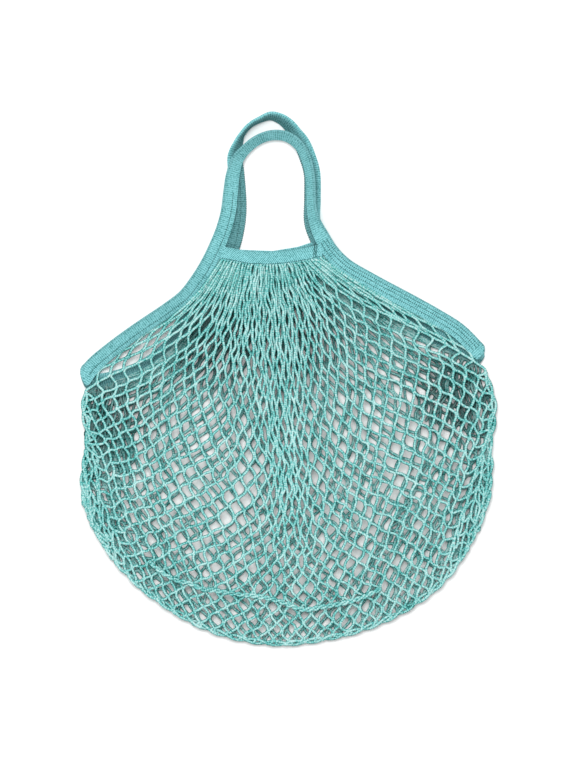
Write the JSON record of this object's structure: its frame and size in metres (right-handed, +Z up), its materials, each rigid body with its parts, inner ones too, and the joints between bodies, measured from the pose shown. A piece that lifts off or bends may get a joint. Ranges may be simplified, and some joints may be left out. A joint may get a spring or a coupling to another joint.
{
  "type": "string shopping bag",
  "caption": "Knitted cotton net shopping bag laid flat, its mouth gathered into bands between two tape-bound loop handles.",
  "frame": {"origin": "middle of the bag's box, on the surface that it lies on", "axes": "+X across the bag, +Y from the bottom fold to the handles, +Z up from the surface"},
  "size_m": [0.4026, 0.5158, 0.0207],
  "materials": {
    "net_cord": "soft knitted cotton cord",
    "front_tape": "ribbed cotton tape",
    "back_tape": "ribbed cotton tape",
    "band": "woven cotton band"
  },
  "bodies": {
    "root": {"net_body": "net_cord", "front_handle_binding": "front_tape", "back_handle_binding": "back_tape", "front_top_band": "band", "back_top_band": "band"}
  },
  "joints": []
}
